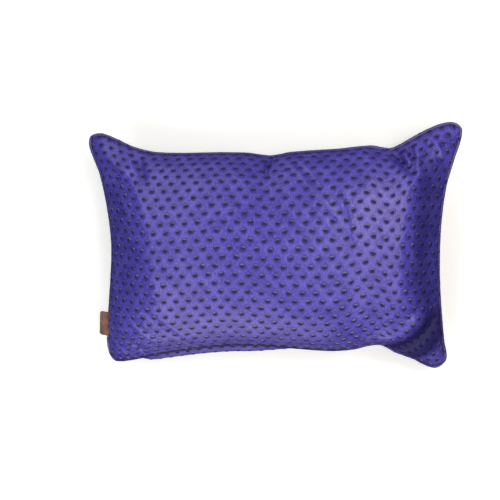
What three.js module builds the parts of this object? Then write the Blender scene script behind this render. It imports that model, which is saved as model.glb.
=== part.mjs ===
// Embroidered cushion, 60 x 40 cm cover, lying on its back.
// Units are millimetres, +Z is up, +X runs along the long side and +Y towards the top edge.
// The cover is two panels with a piped seam all round and a leather tab in the left seam.

import * as THREE from 'three';
import { mergeVertices } from 'three/addons/utils/BufferGeometryUtils.js';

// Filled height on each side of the seam, and what the weight of the cushion flattens.
const FRONT_RISE = 82;
const BACK_DROP = 78;
const REST_FLATTENING = 6;

// How full the panels are: a larger power is flatter on top and steeper at the seam.
const LONG_PROFILE = { power: 2.6, roundness: 0.58 };
const SHORT_PROFILE = { power: 2.2, roundness: 0.78 };
// The filling lies a little to the left, so the crown slopes down to the right.
const CROWN_TILT = 0.12;

// Piping of the same fabric, and the gap that parts it from the panels.
const PIPING_RADIUS = 2.5;
const PIPING_SIDES = 8;
const SEAM_GAP = 0.35;

// Leather tab that is sewn between the front panel and the piping.
const TAB = { length: 42, reach: 15, thickness: 1.8, cornerRadius: 4, centreY: -123, lapOverPiping: 2.3 };

// Cells along and across each panel, drawn together towards the seam.
const CELLS_LONG = 52;
const CELLS_SHORT = 36;
const EDGE_CROWDING = 0.6;

const PURPLE_SATIN = 0x5b4bc0;
const PIPING_SATIN = 0x5346ad;
const BROWN_LEATHER = 0x7b5a4b;

// Centre line of the piping, edge by edge, clockwise from the top left ear.
// x and y are seen from above and lift is the height above the middle of the seam.
const TOP_EDGE = [
  { x: -289, y: 186, lift: -6 },
  { x: -270, y: 189, lift: -5 },
  { x: -222, y: 167, lift: -1 },
  { x: -179, y: 155, lift: 1 },
  { x: -80, y: 151, lift: 1 },
  { x: -28, y: 148, lift: 0 },
  { x: 3, y: 143, lift: -2 },
  { x: 34, y: 147, lift: 0 },
  { x: 110, y: 149, lift: 2 },
  { x: 160, y: 152, lift: 0 },
  { x: 187, y: 147, lift: -2 },
  { x: 213, y: 159, lift: -4 },
  { x: 250, y: 177, lift: -10 },
  { x: 280, y: 183, lift: -14 },
];
const RIGHT_EDGE = [
  { x: 291, y: 174, lift: -14 },
  { x: 281, y: 136, lift: -8 },
  { x: 267, y: 92, lift: -2 },
  { x: 258, y: 25, lift: 2 },
  { x: 257, y: -45, lift: 1 },
  { x: 262, y: -108, lift: -7 },
  { x: 270, y: -160, lift: -24 },
];
const BOTTOM_EDGE = [
  { x: 275, y: -190, lift: -35 },
  { x: 261, y: -203, lift: -38 },
  { x: 225, y: -184, lift: -22 },
  { x: 183, y: -161, lift: -5 },
  { x: 157, y: -152, lift: 0 },
  { x: 130, y: -160, lift: 2 },
  { x: 90, y: -165, lift: 3 },
  { x: 0, y: -161, lift: 5 },
  { x: -65, y: -159, lift: 10 },
  { x: -130, y: -164, lift: 12 },
  { x: -200, y: -177, lift: 4 },
  { x: -250, y: -189, lift: -14 },
];
const LEFT_EDGE = [
  { x: -279, y: -191, lift: -25 },
  { x: -285, y: -174, lift: -20 },
  { x: -279, y: -140, lift: -5 },
  { x: -270, y: -77, lift: 0 },
  { x: -261, y: 5, lift: 1 },
  { x: -265, y: 70, lift: 0 },
  { x: -276, y: 130, lift: -2 },
  { x: -291, y: 172, lift: -5 },
];
const EDGES = [TOP_EDGE, RIGHT_EDGE, BOTTOM_EDGE, LEFT_EDGE];

// Main folds of the front panel, each a soft trough (depth above 0) or ridge (below 0).
const FRONT_FOLDS = [
  { name: 'pucker at the top seam', fromX: 3, fromY: 148, toX: 0, toY: 108, depth: 7, width: 13 },
  { name: 'top right fold, left arm', fromX: 188, fromY: 152, toX: 214, toY: 105, depth: 8, width: 15 },
  { name: 'top right fold, right arm', fromX: 217, fromY: 160, toX: 214, toY: 105, depth: 6, width: 15 },
  { name: 'hollow behind the top right ear', fromX: 242, fromY: 158, toX: 228, toY: 122, depth: 6, width: 18 },
  { name: 'ridge on the top right ear', fromX: 248, fromY: 160, toX: 268, toY: 128, depth: -3, width: 20 },
  { name: 'right shoulder', fromX: 212, fromY: 96, toX: 196, toY: -95, depth: -5, width: 24 },
  { name: 'drop to the bottom right ear', fromX: 178, fromY: -176, toX: 256, toY: -118, depth: 14, width: 27 },
  { name: 'edge of that drop', fromX: 172, fromY: -146, toX: 238, toY: -96, depth: -5, width: 20 },
  { name: 'ridge out of the top left ear', fromX: -268, fromY: 168, toX: -213, toY: 122, depth: -5, width: 15 },
  { name: 'left shoulder', fromX: -210, fromY: 120, toX: -170, toY: -70, depth: -5, width: 24 },
  { name: 'hollow by the top left ear', fromX: -205, fromY: 150, toX: -186, toY: 108, depth: 6, width: 15 },
  { name: 'bottom left crumple', fromX: -238, fromY: -118, toX: -176, toY: -142, depth: 5, width: 16 },
];
// A fold never goes deeper than this part of the panel's own rise.
const DEEPEST_FOLD = 0.55;

const clamp = THREE.MathUtils.clamp;
const lerp = THREE.MathUtils.lerp;

// One smooth closed line through all the stations of the seam.
function seamLine() {
  const stations = EDGES.flat().map((s) => new THREE.Vector3(s.x, s.y, s.lift));
  const line = new THREE.CatmullRomCurve3(stations, true, 'centripetal');
  line.arcLengthDivisions = 1200;
  return line;
}

// Places from -1 to 1 along a panel side, closer together near its ends.
function places(cells) {
  const result = [];
  for (let i = 0; i <= cells; i += 1) {
    const even = (2 * i) / cells - 1;
    result.push(lerp(even, Math.sin((even * Math.PI) / 2), EDGE_CROWDING));
  }
  return result;
}

// Share of the whole line's length at which each edge starts.
function edgeStarts(line) {
  const lengths = line.getLengths();
  const total = lengths[lengths.length - 1];
  const stationCount = EDGES.flat().length;
  let station = 0;
  const starts = EDGES.map((edge) => {
    const position = (station / stationCount) * (lengths.length - 1);
    const below = Math.floor(position);
    station += edge.length;
    return lerp(lengths[below], lengths[Math.min(below + 1, lengths.length - 1)], position - below) / total;
  });
  return [...starts, 1];
}

// Seam points of the piping and, just inside it, of the panels, for the cells of one edge.
function edgePoints(line, start, end, along) {
  return along.map((place) => {
    const share = lerp(start, end, (place + 1) / 2) % 1;
    const piping = line.getPointAt(share);
    const forward = line.getTangentAt(share);
    const inward = new THREE.Vector3(forward.y, -forward.x, 0).normalize();
    const rim = piping.clone().addScaledVector(inward, PIPING_RADIUS + SEAM_GAP);
    return { piping, rim };
  });
}

// Height of a filled panel over the seam, 1 at the crown and 0 at the seam.
function fullness(u, v) {
  const long = Math.pow(1 - Math.pow(Math.abs(u), LONG_PROFILE.power), LONG_PROFILE.roundness);
  const short = Math.pow(1 - Math.pow(Math.abs(v), SHORT_PROFILE.power), SHORT_PROFILE.roundness);
  return long * short;
}

// How far the folds press the front panel in at a place.
function foldDepth(x, y) {
  let depth = 0;
  for (const fold of FRONT_FOLDS) {
    const runX = fold.toX - fold.fromX;
    const runY = fold.toY - fold.fromY;
    const runSquared = runX * runX + runY * runY;
    const share = ((x - fold.fromX) * runX + (y - fold.fromY) * runY) / runSquared;
    const nearest = clamp(share, 0, 1);
    const distance = Math.hypot(x - fold.fromX - nearest * runX, y - fold.fromY - nearest * runY);
    depth += fold.depth * Math.exp(-2 * Math.pow(distance / fold.width, 2));
  }
  return depth;
}

// Surface that the four edges of the seam span, without any filling.
function seamSurface(sides, i, j, longPlaces, shortPlaces) {
  const s = (longPlaces[i] + 1) / 2;
  const t = (shortPlaces[j] + 1) / 2;
  const { top, right, bottom, left } = sides;
  const last = { i: CELLS_LONG, j: CELLS_SHORT };
  const point = new THREE.Vector3();
  point.addScaledVector(bottom[i], 1 - t).addScaledVector(top[i], t);
  point.addScaledVector(left[j], 1 - s).addScaledVector(right[j], s);
  point.addScaledVector(bottom[0], -(1 - s) * (1 - t)).addScaledVector(bottom[last.i], -s * (1 - t));
  point.addScaledVector(top[0], -(1 - s) * t).addScaledVector(top[last.i], -s * t);
  return point;
}

// The filled cushion: front and back panel share the rim and close one solid.
function cushionGeometry(sides) {
  const longPlaces = places(CELLS_LONG);
  const shortPlaces = places(CELLS_SHORT);
  const floor = REST_FLATTENING - BACK_DROP;
  const positions = [];
  const grid = { front: [], back: [] };
  const add = (x, y, z) => positions.push(x, y, z) / 3 - 1;
  for (let i = 0; i <= CELLS_LONG; i += 1) {
    grid.front.push([]);
    grid.back.push([]);
    for (let j = 0; j <= CELLS_SHORT; j += 1) {
      const u = longPlaces[i];
      const v = shortPlaces[j];
      const base = seamSurface(sides, i, j, longPlaces, shortPlaces);
      const full = fullness(u, v);
      // The lift of the seam fades out where the filling takes over.
      const lift = base.z * (1 - full);
      const rise = FRONT_RISE * full * (1 - CROWN_TILT * u);
      const front = lift + rise - Math.min(foldDepth(base.x, base.y), rise * DEEPEST_FOLD);
      const back = Math.max(lift - BACK_DROP * full, floor);
      const onRim = i === 0 || j === 0 || i === CELLS_LONG || j === CELLS_SHORT;
      const frontIndex = add(base.x, base.y, onRim ? base.z : front);
      grid.front[i].push(frontIndex);
      grid.back[i].push(onRim ? frontIndex : add(base.x, base.y, back));
    }
  }
  const faces = [];
  for (let i = 0; i < CELLS_LONG; i += 1) {
    for (let j = 0; j < CELLS_SHORT; j += 1) {
      // The diagonal runs out to the nearest ear, so no triangle of an ear is flat.
      const rising = (2 * i < CELLS_LONG) === (2 * j < CELLS_SHORT);
      for (const side of ['front', 'back']) {
        const cell = grid[side];
        const ring = [cell[i][j], cell[i + 1][j], cell[i + 1][j + 1], cell[i][j + 1]];
        const [a, b, c, d] = rising ? ring : [ring[1], ring[2], ring[3], ring[0]];
        if (side === 'front') faces.push(a, b, c, a, c, d);
        else faces.push(a, c, b, a, d, c);
      }
    }
  }
  return closedGeometry(positions, faces);
}

// A round cord of fabric that follows the seam and meets itself.
function pipingGeometry(loop) {
  const positions = [];
  const faces = [];
  loop.forEach((centre, ring) => {
    const before = loop[(ring + loop.length - 1) % loop.length];
    const after = loop[(ring + 1) % loop.length];
    const forward = after.clone().sub(before).normalize();
    const outward = new THREE.Vector3(-forward.y, forward.x, 0).normalize();
    const upward = outward.clone().cross(forward).normalize();
    for (let side = 0; side < PIPING_SIDES; side += 1) {
      const angle = (2 * Math.PI * side) / PIPING_SIDES;
      const point = centre.clone();
      point.addScaledVector(outward, PIPING_RADIUS * Math.cos(angle));
      point.addScaledVector(upward, PIPING_RADIUS * Math.sin(angle));
      positions.push(point.x, point.y, point.z);
      const here = ring * PIPING_SIDES + side;
      const beside = ring * PIPING_SIDES + ((side + 1) % PIPING_SIDES);
      const nextRing = ((ring + 1) % loop.length) * PIPING_SIDES;
      const ahead = nextRing + side;
      const aheadBeside = nextRing + ((side + 1) % PIPING_SIDES);
      faces.push(here, ahead, aheadBeside, here, aheadBeside, beside);
    }
  });
  return closedGeometry(positions, faces);
}

// A flat tab with its two outer corners rounded, lying over the piping.
function tabGeometry() {
  const { length, reach, thickness, cornerRadius, lapOverPiping } = TAB;
  const half = length / 2;
  const outline = new THREE.Shape();
  outline.moveTo(lapOverPiping, -half);
  outline.lineTo(lapOverPiping, half);
  outline.lineTo(cornerRadius - reach, half);
  outline.absarc(cornerRadius - reach, half - cornerRadius, cornerRadius, Math.PI / 2, Math.PI, false);
  outline.lineTo(-reach, cornerRadius - half);
  outline.absarc(cornerRadius - reach, cornerRadius - half, cornerRadius, Math.PI, 1.5 * Math.PI, false);
  outline.closePath();
  const geometry = new THREE.ExtrudeGeometry(outline, { depth: thickness, bevelEnabled: false, curveSegments: 6 });
  geometry.deleteAttribute('normal');
  geometry.deleteAttribute('uv');
  return mergeVertices(geometry);
}

function closedGeometry(positions, faces) {
  const geometry = new THREE.BufferGeometry();
  geometry.setAttribute('position', new THREE.Float32BufferAttribute(positions, 3));
  geometry.setIndex(faces);
  geometry.computeVertexNormals();
  return geometry;
}

function namedMesh(name, geometry, color, roughness) {
  const mesh = new THREE.Mesh(geometry, new THREE.MeshStandardMaterial({ color, roughness, metalness: 0 }));
  mesh.name = name;
  return mesh;
}

// The tab stands square to the seam at its own height on the left edge.
function placeTab(tab, leftPiping) {
  const nearest = leftPiping.reduce((best, point, index) => {
    const closer = Math.abs(point.y - TAB.centreY) < Math.abs(leftPiping[best].y - TAB.centreY);
    return closer ? index : best;
  }, 0);
  const below = leftPiping[nearest - 1];
  const above = leftPiping[nearest + 1];
  const lean = Math.atan2(below.x - above.x, above.y - below.y);
  const slope = Math.atan2(above.z - below.z, above.y - below.y);
  const centre = leftPiping[nearest];
  tab.rotation.set(slope, 0, lean, 'ZYX');
  tab.position.set(centre.x, centre.y, centre.z + PIPING_RADIUS + SEAM_GAP);
}

const line = seamLine();
const starts = edgeStarts(line);
const alongLong = places(CELLS_LONG);
const alongShort = places(CELLS_SHORT);
const [topRun, rightRun, bottomRun, leftRun] = EDGES.map((edge, index) => (
  edgePoints(line, starts[index], starts[index + 1], index % 2 === 0 ? alongLong : alongShort)
));
const sides = {
  top: topRun.map((point) => point.rim),
  right: rightRun.map((point) => point.rim).reverse(),
  bottom: bottomRun.map((point) => point.rim).reverse(),
  left: leftRun.map((point) => point.rim),
};
const pipingLoop = [topRun, rightRun, bottomRun, leftRun].flatMap((run) => (
  run.slice(0, -1).map((point) => point.piping)
)).reverse();

const cushion = namedMesh('cushion', cushionGeometry(sides), PURPLE_SATIN, 0.45);
const piping = namedMesh('piping', pipingGeometry(pipingLoop), PIPING_SATIN, 0.5);
const labelTab = namedMesh('label_tab', tabGeometry(), BROWN_LEATHER, 0.7);
placeTab(labelTab, leftRun.map((point) => point.piping));

// The origin is the middle of the footprint, on the surface that carries the cushion.
const group = new THREE.Group();
group.add(cushion, piping, labelTab);
group.updateMatrixWorld(true);
const box = new THREE.Box3().setFromObject(group, true);
group.position.set(-(box.min.x + box.max.x) / 2, -(box.min.y + box.max.y) / 2, -box.min.z);

export default group;
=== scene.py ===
import math
import random

import bmesh
import bpy
from mathutils import Matrix, Vector, noise


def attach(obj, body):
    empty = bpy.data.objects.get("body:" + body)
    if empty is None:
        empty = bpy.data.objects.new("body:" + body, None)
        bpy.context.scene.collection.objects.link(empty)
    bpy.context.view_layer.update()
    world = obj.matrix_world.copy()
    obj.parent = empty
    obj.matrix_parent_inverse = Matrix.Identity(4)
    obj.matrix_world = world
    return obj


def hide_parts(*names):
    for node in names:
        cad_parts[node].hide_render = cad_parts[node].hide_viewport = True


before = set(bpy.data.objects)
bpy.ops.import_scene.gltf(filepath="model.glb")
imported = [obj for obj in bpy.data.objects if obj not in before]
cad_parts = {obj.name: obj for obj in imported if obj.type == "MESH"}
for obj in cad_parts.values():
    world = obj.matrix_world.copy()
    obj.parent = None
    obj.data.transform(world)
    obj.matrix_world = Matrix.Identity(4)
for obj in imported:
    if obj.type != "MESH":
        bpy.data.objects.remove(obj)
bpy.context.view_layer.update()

MM = 0.001

# The cover as it was cut and sewn, seam to seam, in millimetres.
PANEL_LONG = 600
PANEL_SHORT = 380
CORNER_ROUND = 14
SIDE_TAPER = 0.05
CLOTH_CELL = 5
FINE_CELL = CLOTH_CELL / 2
CELLS_LONG = PANEL_LONG // CLOTH_CELL
CELLS_SHORT = PANEL_SHORT // CLOTH_CELL

# A small height in the cut shape marks the panel of each place: this much on the front, as much
# below 0 on the back, and 0 on the seam.
SIDE_MARK = 0.5

# Filled height over and under the seam, width and depth between the drawn-in sides, and how full
# the panels are before the cloth settles. The crown is a little higher on the left.
FRONT_RISE = 78
BACK_DROP = 74
FILLED_WIDTH, FILLED_DEPTH = 525, 315
LONG_PROFILE = (2.6, 0.58)
SHORT_PROFILE = (2.2, 0.78)
CROWN_TILT = 0.12
PRESSURE = 1.6
INFLATE_FRAMES = 24
FLOOR_SOFTNESS = 5
# Steps in which the seam is followed from station to station, and the filled cover from side to
# side.
SPLINE_STEPS = 24
CURVE_STEPS = 240

# Piping round the seam, and how deep the panels reach into it.
PIPING_RADIUS = 2.5
PIPING_STEP = 4
PIPING_SIDES = 12
PANEL_TUCK = 1.0
# The cord's cover ripples by this share of its radius, in so many waves to a millimetre of cord
# and to a radius.
CORD_RIPPLE = 0.07
RIPPLES_ALONG, RIPPLES_ROUND = 0.16, 1.2

# Staggered repeat of embroidered knots: PITCH along a row and ROW from row to row, with every
# second row moved along by half a pitch. The rows lean a little on the cloth.
PITCH = 18.9
ROW = 13.3
FIRST_KNOT = (-6.0, 26.2)
PATTERN_LEAN = 0.049
KNOT_COLUMNS = 34
KNOT_ROW_PAIRS = 16
KNOT_RADIUS = 4.4
KNOT_SIDES = 10
# Rings of a knot from its edge inwards: share of the radius, and height.
KNOT_RINGS = [(1.0, -0.3), (0.87, 0.45), (0.64, 1.05), (0.36, 1.3)]
KNOT_DIMPLE = 0.6
# How much knots differ, either way: shares of size and width, turn in radians, place in
# millimetres, and share of height.
SIZE_VARIES, WIDTH_VARIES = 0.06, 0.05
TURN_VARIES = 0.45
PLACE_VARIES = 0.35
HEIGHT_VARIES = 0.15
# A knot whose middle is nearer to the seam than this isn't sewn.
KNOT_MARGIN = 0.35 * KNOT_RADIUS
# The knots of the back are pressed flatter by the weight on them.
BACK_KNOT_HEIGHT = 0.5
# The UVs of the back lie this many repeats beside those of the front.
BACK_UV_SHIFT = 50
# Knots on the cord come in pairs: rows of the fabric from pair to pair, and for each of the two
# its share of the way to the next pair and its half turns from outwards.
CORD_KNOT_ROWS = 2.6
CORD_KNOTS = ((0.0, 0.62), (0.5, -0.1))
# They stray this far along in millimetres and round in half turns, are smaller than those of the
# panels along and round the cord, keep this share of their height, and sink in this far.
STRAY_ALONG, STRAY_ROUND = 2, 0.25
CORD_KNOT_LONG, CORD_KNOT_ROUND = 0.8, 0.64
CORD_KNOT_HEIGHT = 0.2
CORD_KNOT_SUNK = 0.1

# Leather tab in the left seam. It bends in even slices, and the edge of the cover is searched for
# its place in EDGE_STEPS.
TAB_LENGTH = 42
TAB_REACH = 15
TAB_LAP = 2.3
TAB_THICKNESS = 1.8
TAB_CORNER = 4
TAB_WORN_EDGE = 0.45
TAB_CENTRE_Y = -123
TAB_CLEARANCE = 0.3
TAB_DROOP, TAB_CURL = 1.6, 0.5
TAB_SLICES = (9, 14)
EDGE_STEPS = 400

# Centre line of the piping, edge by edge, clockwise from the top left ear: x, y and height over
# the middle of the seam, in millimetres.
TOP_EDGE = [
    (-289, 186, -6), (-270, 189, -5), (-222, 167, -1), (-179, 155, 1), (-80, 151, 1),
    (-28, 148, 0), (3, 143, -2), (34, 147, 0), (110, 149, 2), (160, 152, 0),
    (187, 147, -2), (213, 159, -4), (250, 177, -10), (280, 183, -14),
]
RIGHT_EDGE = [
    (291, 174, -14), (281, 136, -8), (267, 92, -2), (258, 25, 2), (257, -45, 1),
    (262, -108, -7), (270, -160, -24),
]
BOTTOM_EDGE = [
    (275, -190, -35), (261, -203, -38), (225, -184, -22), (192, -168, -8), (171, -155, -1),
    (150, -156, 1), (130, -161, 2), (90, -164, 3), (0, -157, 5), (-65, -155, 8),
    (-130, -161, 9), (-200, -174, 3), (-250, -188, -13),
]
LEFT_EDGE = [
    (-279, -191, -25), (-285, -174, -20), (-279, -140, -5), (-270, -77, 0), (-261, 5, 1),
    (-265, 70, 0), (-276, 130, -2), (-291, 172, -5),
]
EDGES = [TOP_EDGE, RIGHT_EDGE, BOTTOM_EDGE, LEFT_EDGE]
TOP, RIGHT, BOTTOM, LEFT = range(4)
# The middle of the seam in the frame of the part.
SEAM_ORIGIN = Vector((0.05, 6.8, 72.0))

# Folds of the front panel, seen from above in millimetres from the middle of the seam: where each
# starts, bends and ends, its depth (below 0 for a ridge) and its half width.
FOLDS = [
    # pucker in the middle of the top edge
    ((2, 152), (1, 132), (-2, 110), 7.5, 5),
    ((10, 150), (9, 138), (6, 122), -1.8, 4.5),
    # deep pleats between the crown and the top right ear
    ((186, 148), (199, 128), (214, 106), 9, 6.5),
    ((214, 158), (216, 132), (214, 108), 7, 5.5),
    ((190, 146), (198, 140), (203, 122), 5, 3.2),
    ((197, 150), (206, 136), (211, 122), -4, 3.2),
    ((203, 152), (209, 144), (211, 132), 5, 3.0),
    ((182, 138), (190, 128), (201, 118), 4.5, 3.0),
    # hollow along the top right ear and the sharp ridge beside it
    ((244, 160), (238, 142), (228, 124), 5, 9),
    ((246, 162), (254, 147), (263, 130), -3.5, 6),
    # shoulders where the crown turns down to the short sides, and the flat stretch beside each
    ((216, 104), (197, -10), (203, -96), -4, 24),
    ((250, 120), (232, -10), (240, -104), 7.5, 30),
    ((-213, 122), (-181, 42), (-168, -74), -4, 26),
    ((-250, 128), (-226, 10), (-222, -90), 5, 34),
    # bottom right: the crown folds over the ear
    ((160, -168), (212, -152), (250, -110), 12, 15),
    ((146, -140), (194, -132), (230, -92), -8, 14),
    ((224, -186), (236, -178), (254, -176), 2.4, 3.5),
    ((232, -196), (244, -186), (262, -186), -3, 4.5),
    # top left ear
    ((-274, 174), (-248, 146), (-213, 124), -4, 9),
    ((-205, 150), (-198, 132), (-186, 108), 5, 10),
    ((-222, 158), (-214, 140), (-206, 128), -2, 4),
    # bottom left: slack cloth over the corner
    ((-205, -84), (-172, -106), (-131, -146), 2, 5),
    ((-224, -104), (-196, -132), (-170, -150), -2, 5),
    ((-246, -128), (-226, -146), (-206, -168), 2.4, 6),
    ((-262, -150), (-250, -168), (-232, -180), -2.4, 5),
    # long soft drag lines on the crown
    ((28, 138), (60, 102), (107, 44), -3.2, 3.0),
    ((48, 136), (74, 106), (98, 64), -2.6, 2.9),
    ((104, 112), (118, 72), (128, 14), -1.8, 3.4),
]
# A fold has lost this share of its depth at its two ends.
FOLD_FADE = 0.75
# A fold this deep takes half of the light from the cloth in it.
SHADE_DEPTH = 10
# Where the crown keeps the light off the cloth beside it: start, bend and end as above, the share
# of the light that it takes, and the half width. Such a shade has a firmer edge than a fold.
SHADE_EDGE = 5
SHADED = [
    ((200, -172), (232, -152), (260, -122), 0.88, 34),
    ((244, 104), (238, 0), (250, -112), 0.36, 30),
]
# Cloth that is tucked in beside the seam loses this share of its light, over this half width.
SEAM_SHADE, SEAM_SHADE_WIDTH = 0.75, 6
# The crown hangs over the cord in the bottom edge and takes this share of its light, between two
# places along it, fading in and out over the third length.
CORD_SHADE = 0.85
CORD_SHADE_FROM, CORD_SHADE_TO, CORD_SHADE_FADE = -250, 160, 50
# The seam holds the cloth beside it this far, so that no fold cuts into it.
SEAM_HOLD = 18
# The back panel rolls out under the bottom seam: how far, over what length of cloth, between
# which places along the seam, how steeply it starts and ends there, and the power of its round.
BOTTOM_ROLL = 36
ROLL_CLOTH = 90
ROLL_FROM, ROLL_TO = -284, 130
ROLL_START, ROLL_END = 5, 2.2
ROLL_ROUND = 0.8

# Colours and finish.
SATIN_DARK, SATIN_LIGHT = "#382F8E", "#6056BF"
CORD_DARK, CORD_LIGHT = "#38326F", "#4C4590"
SATIN_ROUGH = (0.36, 0.45)
SATIN_ANISO = 0.75
SATIN_SPECULAR = 0.56
SATIN_GLEAM = "#FAEAEC"
# The satin's tone comes from its warp lines and, by this share, from soft clouds. It is dark up
# to the first of two tones and light from the second.
CLOUD_SHARE = 0.3
TONE_DARK, TONE_LIGHT = 0.4, 0.58
# Heights in the bump of the satin, in millimetres.
STREAK_HEIGHT, PUCKER_HEIGHT, PUFF_HEIGHT = 0.16, 0.75, 0.25
# Beside each knot the satin has a painted shade and dips, out to so many radii of the knot.
KNOT_SHADE_COLOUR, KNOT_SHADE_STRENGTH, KNOT_SHADE_REACH = "#251E6C", 0.6, 1.6
PUFF_REACH = 2.0
FOLD_SHADOW = "#15124C"
SHADE_SPREAD = 0.4
# The second colour of the thread is a painted highlight, laid in grey on the upper side of each
# knot.
THREAD_DARK, THREAD_HIGHLIGHT, THREAD_RIM = "#29284C", "#73738F", "#413A92"
THREAD_ROUGH, THREAD_SPECULAR = 0.6, 0.15
# The grey painted highlight differs from knot to knot: the least share, and how much more there may
# be.
HIGHLIGHT_LEAST, HIGHLIGHT_MORE = 0.6, 0.6
RIB_TONE = 0.05
STITCHES = 14
LEATHER_DARK, LEATHER_LIGHT = "#55382C", "#8A6654"
LEATHER_ROUGH, LEATHER_SPECULAR = 0.62, 0.4
FLOOR_COLOUR = "#FCFCFC"
FLOOR_GLOW = 0.25
FLOOR_REACH = 3
BACKDROP_COLOUR = "#F4F4F4"
BACKDROP_RADIUS = 5

# The camera stands over the cushion, a little towards its top right.
CAMERA_PLACE = Vector((0.0807, 0.0957, 0.938))
CAMERA_TARGET = Vector((-0.0296, 0.0071, 0.100))
CAMERA_ROLL = math.radians(-1.73)
CAMERA_LENS = 39.6

# Soft boxes: name, bearing and height in degrees, distance and size in metres, watts, colour.
LIGHT_AIM = Vector((0, 0, 0.1))
WARM, WHITE = "#FFFAF2", "#FFFFFF"
LIGHTS = [
    ("key_box", 38, 50, 1.5, (0.6, 0.6), 11.0, WARM),
    ("high_box", 0, 74, 1.5, (0.6, 0.6), 3.5, WHITE),
    ("back_left_box", 135, 48, 1.5, (0.6, 0.6), 4.0, WHITE),
    ("back_box", 110, 20, 1.5, (0.9, 0.6), 4.0, WHITE),
    ("front_left_box", 225, 48, 1.5, (0.6, 0.6), 6.0, WHITE),
    ("front_box", 258, 20, 1.5, (0.9, 0.6), 9.5, WARM),
    ("front_right_box", 315, 48, 1.5, (0.6, 0.6), 3.5, WARM),
]
WORLD_STRENGTH = 0.04

RANDOM = random.Random(7)


def spline_point(points, share):
    """Point on a centripetal Catmull-Rom curve between the second and third of four points."""
    knots = [0.0]
    for a, b in zip(points, points[1:]):
        knots.append(knots[-1] + max((b - a).length, 1e-6) ** 0.5)
    t = knots[1] + (knots[2] - knots[1]) * share
    for span in (1, 2, 3):
        points = [
            a.lerp(b, (t - knots[n]) / (knots[n + span] - knots[n]))
            for n, (a, b) in enumerate(zip(points, points[1:]))
        ]
    return points[0]


class Line:
    """A fine line that is walked by its own length."""

    def __init__(self, points):
        self.points = points
        self.reach = [0.0]
        for a, b in zip(points, points[1:]):
            self.reach.append(self.reach[-1] + (b - a).length)

    def at(self, share):
        """Place and direction at a share of the length."""
        wanted = min(max(share, 0.0), 1.0) * self.reach[-1]
        low, high = 0, len(self.reach) - 2
        while low < high:
            middle = (low + high + 1) // 2
            if self.reach[middle] <= wanted:
                low = middle
            else:
                high = middle - 1
        a, b = self.points[low], self.points[low + 1]
        part = (wanted - self.reach[low]) / max(self.reach[low + 1] - self.reach[low], 1e-9)
        return a.lerp(b, part), (b - a).normalized()


def seam_lines():
    """The four sides of the seam, each from one ear to the next."""
    stations = [Vector(station) + SEAM_ORIGIN for edge in EDGES for station in edge]
    lines = []
    first = 0
    for edge in EDGES:
        points = []
        for n in range(first, first + len(edge)):
            around = [stations[(n + k) % len(stations)] for k in (-1, 0, 1, 2)]
            points += [spline_point(around, k / SPLINE_STEPS) for k in range(SPLINE_STEPS)]
        first += len(edge)
        points.append(stations[first % len(stations)])
        lines.append(Line(points))
    return lines


SEAM = seam_lines()
SEAM_LENGTH = sum(line.reach[-1] for line in SEAM)


def seam_sides(forward):
    """Outward and upward directions beside a seam that runs forward."""
    outward = Vector((-forward.y, forward.x, 0)).normalized()
    return outward, forward.cross(outward).normalized()


def rim_point(edge, share):
    """A point of the panels' rim, tucked into the piping."""
    place, forward = SEAM[edge].at(share)
    return place - seam_sides(forward)[0] * PANEL_TUCK


def fullness(u, v):
    """How full the cover is at a place of the panel, from 0 at the seam to 1 in the middle."""
    long_way = (1 - abs(u) ** LONG_PROFILE[0]) ** LONG_PROFILE[1]
    return long_way * (1 - abs(v) ** SHORT_PROFILE[0]) ** SHORT_PROFILE[1]


def even_shares(cells, span, heights):
    """Shares of a span between which equal lengths of fabric lie, for a curve of given heights."""
    fine = len(heights) - 1
    reach = [0.0]
    for a, b in zip(heights, heights[1:]):
        reach.append(reach[-1] + math.hypot(span / fine, b - a))
    shares = []
    n = 0
    for cell in range(cells + 1):
        wanted = reach[-1] * cell / cells
        while n < fine - 1 and reach[n + 1] < wanted:
            n += 1
        shares.append((n + (wanted - reach[n]) / (reach[n + 1] - reach[n])) / fine)
    return shares


FINE = [2 * n / CURVE_STEPS - 1 for n in range(CURVE_STEPS + 1)]


def row_shares(v):
    """Shares along a row of the panel, which lies from -1 at the bottom to 1 at the top."""
    return even_shares(CELLS_LONG, FILLED_WIDTH, [FRONT_RISE * fullness(u, v) for u in FINE])


def column_shares(u):
    """Shares up a column of the panel, which lies from -1 at the left to 1 at the right."""
    return even_shares(CELLS_SHORT, FILLED_DEPTH, [FRONT_RISE * fullness(u, v) for v in FINE])


LONG_SHARES = [row_shares(2 * t - 1) for t in column_shares(0)]
SHORT_SHARES = [column_shares(2 * s - 1) for s in row_shares(0)]


def seam_surface(s, t):
    """Surface that the four sides of the seam span."""
    bottom, top = rim_point(BOTTOM, 1 - s), rim_point(TOP, s)
    left, right = rim_point(LEFT, t), rim_point(RIGHT, 1 - t)
    point = bottom * (1 - t) + top * t + left * (1 - s) + right * s
    point -= rim_point(BOTTOM, 1) * (1 - s) * (1 - t) + rim_point(BOTTOM, 0) * s * (1 - t)
    point -= rim_point(TOP, 0) * (1 - s) * t + rim_point(TOP, 1) * s * t
    return point


def filled_point(i, j, side):
    """Where a panel's grid point starts: side is 1 on the front and -1 on the back."""
    s, t = LONG_SHARES[j][i], SHORT_SHARES[i][j]
    base = seam_surface(s, t)
    full = fullness(2 * s - 1, 2 * t - 1)
    rise = FRONT_RISE * (1 - CROWN_TILT * (2 * s - 1)) if side > 0 else -BACK_DROP
    base.z = SEAM_ORIGIN.z + (base.z - SEAM_ORIGIN.z) * (1 - full) + rise * full
    return base


def side_taper(y):
    """The short sides are cut a little hollow: the panel's width at a height y, as a share."""
    return 1 - SIDE_TAPER * (1 - (2 * y / PANEL_SHORT) ** 2)


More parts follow.
